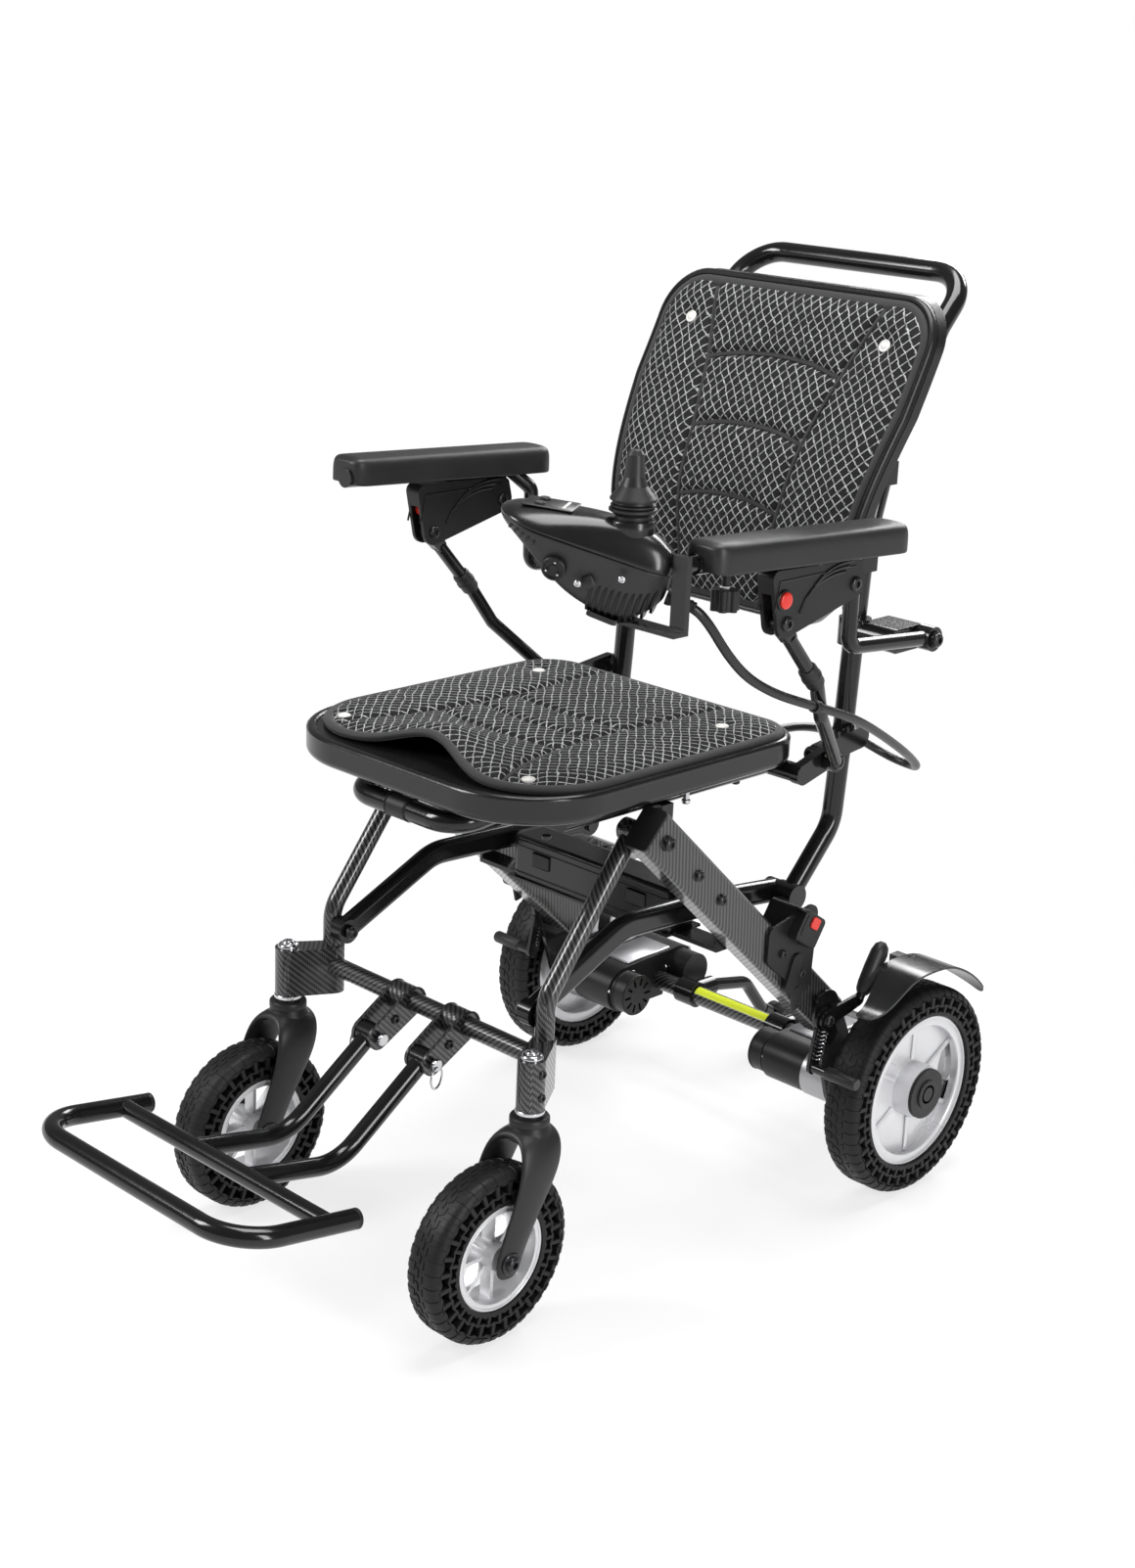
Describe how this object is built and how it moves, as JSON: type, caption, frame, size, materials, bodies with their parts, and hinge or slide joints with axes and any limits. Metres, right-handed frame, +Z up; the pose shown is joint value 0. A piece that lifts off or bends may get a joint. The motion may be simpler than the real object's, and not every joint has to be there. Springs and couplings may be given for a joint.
{
  "type": "power wheelchair",
  "caption": "Folding power wheelchair with carbon frame tubes, flip-up arms, a joystick controller, caster forks and a folding footrest",
  "frame": {"origin": "on the floor, under the middle of the whole chair", "axes": "+X the chair's left, -Y forward, +Z up"},
  "size_m": [0.564, 1.045, 0.9789],
  "materials": {
    "carbon": "woven carbon fibre laminate, clear coated, fine twill",
    "black_coat": "satin black powder coat",
    "dark_plastic": "fine grained black moulding",
    "alloy": "fine bead blasted",
    "steel": "bright plated",
    "tyre": "solid foam tyre, dull black",
    "rim_silver": "silver paint, semi gloss",
    "cloth": "black open mesh, silver diamond stitching",
    "shell": "black moulded back shell",
    "pad": "soft black integral skin foam",
    "red": "red push button",
    "rubber": "moulded black rubber",
    "cable": "black cable jacket"
  },
  "bodies": {
    "rear_frame": {"side_beams": "carbon", "beam_caps": "dark_plastic", "axle_tube": "carbon", "drive_plates": "black_coat", "gearcases": "alloy", "motors": "dark_plastic", "fenders": "dark_plastic", "battery_case": "dark_plastic", "battery_tray": "black_coat", "latch_housings": "dark_plastic", "antitip_arms": "black_coat", "seat_pan": "dark_plastic", "seat_cushion": "cloth", "seat_frame": "black_coat", "brake_brackets": "black_coat"},
    "back_frame": {"back_frame": "black_coat", "backrest_shell": "shell", "backrest_cushion": "cloth", "arm_clamps": "black_coat", "cable_lower": "cable"},
    "front_frame": {"front_frame": "carbon", "stem_bolts": "steel", "footrest_brackets": "carbon"},
    "side_bars": {"side_bars": "black_coat"},
    "footrest": {"footrest": "black_coat", "footrest_plugs": "dark_plastic"},
    "controller": {"controller_mount": "black_coat", "controller_body": "dark_plastic"},
    "joystick_boot": {"joystick_boot": "rubber"},
    "joystick_knob": {"joystick_knob": "dark_plastic"},
    "clamp_knob": {"clamp_knob": "dark_plastic"},
    "left_arm": {"left_arm_tube": "black_coat", "left_arm_pad": "pad", "cable_upper": "cable"},
    "left_bracket": {"left_release_bracket": "dark_plastic"},
    "left_strut": {"left_strut": "black_coat"},
    "left_release_button": {"left_release_button": "red"},
    "left_latch_button": {"left_latch_button": "red"},
    "left_brake_lever": {"left_brake_lever": "black_coat"},
    "left_fork": {"left_fork": "carbon"},
    "left_front_wheel": {"left_front_tyre": "tyre", "left_front_rim": "rim_silver"},
    "left_rear_wheel": {"left_rear_tyre": "tyre", "left_rear_rim": "rim_silver", "left_hub_cap": "dark_plastic"},
    "left_antitip_wheel": {"left_antitip_wheel": "dark_plastic"},
    "right_arm": {"right_arm_tube": "black_coat", "right_arm_pad": "pad"},
    "right_bracket": {"right_release_bracket": "dark_plastic"},
    "right_strut": {"right_strut": "black_coat"},
    "right_release_button": {"right_release_button": "red"},
    "right_latch_button": {"right_latch_button": "red"},
    "right_brake_lever": {"right_brake_lever": "black_coat"},
    "right_fork": {"right_fork": "carbon"},
    "right_front_wheel": {"right_front_tyre": "tyre", "right_front_rim": "rim_silver"},
    "right_rear_wheel": {"right_rear_tyre": "tyre", "right_rear_rim": "rim_silver", "right_hub_cap": "dark_plastic"},
    "right_antitip_wheel": {"right_antitip_wheel": "dark_plastic"}
  },
  "joints": [
    {"name": "back_fold", "type": "hinge", "parent": "rear_frame", "child": "back_frame", "pos_m": [0, 0.217, 0.49696], "axis": [1, 0, 0], "range_deg": [0, 48], "deforming": ["cable_lower"]},
    {"name": "leg_fold", "type": "hinge", "parent": "rear_frame", "child": "front_frame", "pos_m": [0, -0.03325, 0.46245], "axis": [1, 0, 0], "range_deg": [0, 43]},
    {"name": "side_bar_link", "type": "hinge", "parent": "front_frame", "child": "side_bars", "pos_m": [0, -0.1425, 0.297], "axis": [1, 0, 0], "range_deg": [-30, 0]},
    {"name": "left_arm_flip", "type": "hinge", "parent": "back_frame", "child": "left_arm", "pos_m": [0.226, 0.329, 0.61396], "axis": [1, 0, 0], "range_deg": [-72, 0], "deforming": ["cable_upper"]},
    {"name": "left_bracket_link", "type": "hinge", "parent": "left_arm", "child": "left_bracket", "pos_m": [0.246, 0.16, 0.69996], "axis": [1, 0, 0], "range_deg": [0, 104]},
    {"name": "left_strut_link", "type": "hinge", "parent": "left_bracket", "child": "left_strut", "pos_m": [0.246, 0.0595, 0.67496], "axis": [1, 0, 0], "range_deg": [-88, 0]},
    {"name": "left_release_press", "type": "slide", "parent": "left_bracket", "child": "left_release_button", "axis": [-1, 0, 0], "range_m": [0, 0.0016], "stiffness_N_per_m": 300, "springref_m": -0.002},
    {"name": "left_latch_press", "type": "slide", "parent": "rear_frame", "child": "left_latch_button", "axis": [-1, 0, 0], "range_m": [0, 0.0035], "stiffness_N_per_m": 400, "springref_m": -0.002},
    {"name": "left_brake", "type": "hinge", "parent": "rear_frame", "child": "left_brake_lever", "pos_m": [0.216, 0.222, 0.212], "axis": [1, 0, 0], "range_deg": [0, 30]},
    {"name": "left_caster_swivel", "type": "hinge", "parent": "front_frame", "child": "left_fork", "pos_m": [0.1814, -0.1824, 0.2], "axis": [0, 0, 1], "continuous": true},
    {"name": "left_caster_roll", "type": "hinge", "parent": "left_fork", "child": "left_front_wheel", "pos_m": [0.1814, -0.232, 0.089], "axis": [1, 0, 0], "continuous": true},
    {"name": "left_drive_roll", "type": "hinge", "parent": "rear_frame", "child": "left_rear_wheel", "pos_m": [0.25, 0.327, 0.117], "axis": [1, 0, 0], "continuous": true},
    {"name": "left_antitip_roll", "type": "hinge", "parent": "rear_frame", "child": "left_antitip_wheel", "pos_m": [0.069, 0.504, 0.04], "axis": [1, 0, 0], "continuous": true},
    {"name": "right_arm_flip", "type": "hinge", "parent": "back_frame", "child": "right_arm", "pos_m": [-0.226, 0.329, 0.61396], "axis": [1, 0, 0], "range_deg": [-72, 0]},
    {"name": "right_bracket_link", "type": "hinge", "parent": "right_arm", "child": "right_bracket", "pos_m": [-0.246, 0.16, 0.69996], "axis": [1, 0, 0], "range_deg": [0, 104]},
    {"name": "right_strut_link", "type": "hinge", "parent": "right_bracket", "child": "right_strut", "pos_m": [-0.246, 0.0595, 0.67496], "axis": [1, 0, 0], "range_deg": [-88, 0]},
    {"name": "right_release_press", "type": "slide", "parent": "right_bracket", "child": "right_release_button", "axis": [1, 0, 0], "range_m": [0, 0.0016], "stiffness_N_per_m": 300, "springref_m": -0.002},
    {"name": "right_latch_press", "type": "slide", "parent": "rear_frame", "child": "right_latch_button", "axis": [1, 0, 0], "range_m": [0, 0.0035], "stiffness_N_per_m": 400, "springref_m": -0.002},
    {"name": "right_brake", "type": "hinge", "parent": "rear_frame", "child": "right_brake_lever", "pos_m": [-0.216, 0.222, 0.212], "axis": [1, 0, 0], "range_deg": [0, 30]},
    {"name": "right_caster_swivel", "type": "hinge", "parent": "front_frame", "child": "right_fork", "pos_m": [-0.1814, -0.1824, 0.2], "axis": [0, 0, 1], "continuous": true},
    {"name": "right_caster_roll", "type": "hinge", "parent": "right_fork", "child": "right_front_wheel", "pos_m": [-0.1814, -0.232, 0.089], "axis": [1, 0, 0], "continuous": true},
    {"name": "right_drive_roll", "type": "hinge", "parent": "rear_frame", "child": "right_rear_wheel", "pos_m": [-0.25, 0.327, 0.117], "axis": [1, 0, 0], "continuous": true},
    {"name": "right_antitip_roll", "type": "hinge", "parent": "rear_frame", "child": "right_antitip_wheel", "pos_m": [-0.069, 0.504, 0.04], "axis": [1, 0, 0], "continuous": true},
    {"name": "footrest_fold", "type": "hinge", "parent": "front_frame", "child": "footrest", "pos_m": [0, -0.191, 0.227], "axis": [1, 0, 0], "range_deg": [-70, 0]},
    {"name": "controller_turn", "type": "hinge", "parent": "left_arm", "child": "controller", "pos_m": [0.242, -0.073, 0.74614], "axis": [0, 0.9989, -0.0471], "range_deg": [0, 110]},
    {"name": "joystick_pitch", "type": "hinge", "parent": "controller", "child": "joystick_boot", "pos_m": [0.19136, -0.09115, 0.783], "axis": [0.5301, -0.8479, 0], "range_deg": [-12, 12], "stiffness_Nm_per_rad": 0.05},
    {"name": "joystick_roll", "type": "hinge", "parent": "joystick_boot", "child": "joystick_knob", "pos_m": [0.19136, -0.09115, 0.783], "axis": [0.8479, 0.5301, 0], "range_deg": [-12, 12], "stiffness_Nm_per_rad": 0.05},
    {"name": "clamp_knob_turn", "type": "hinge", "parent": "left_arm", "child": "clamp_knob", "pos_m": [0.242, -0.0155, 0.71343], "axis": [0, 0, 1], "continuous": true}
  ],
  "couplings": [
    {"joint": "leg_fold", "follows": "back_fold", "ratio": 0.89},
    {"joint": "side_bar_link", "follows": "back_fold", "ratio": -0.61},
    {"joint": "controller_turn", "follows": "back_fold", "ratio": 2.2},
    {"joint": "left_bracket_link", "follows": "left_arm_flip", "ratio": -1.44},
    {"joint": "left_strut_link", "follows": "left_arm_flip", "ratio": 1.22},
    {"joint": "right_bracket_link", "follows": "right_arm_flip", "ratio": -1.44},
    {"joint": "right_strut_link", "follows": "right_arm_flip", "ratio": 1.22}
  ]
}
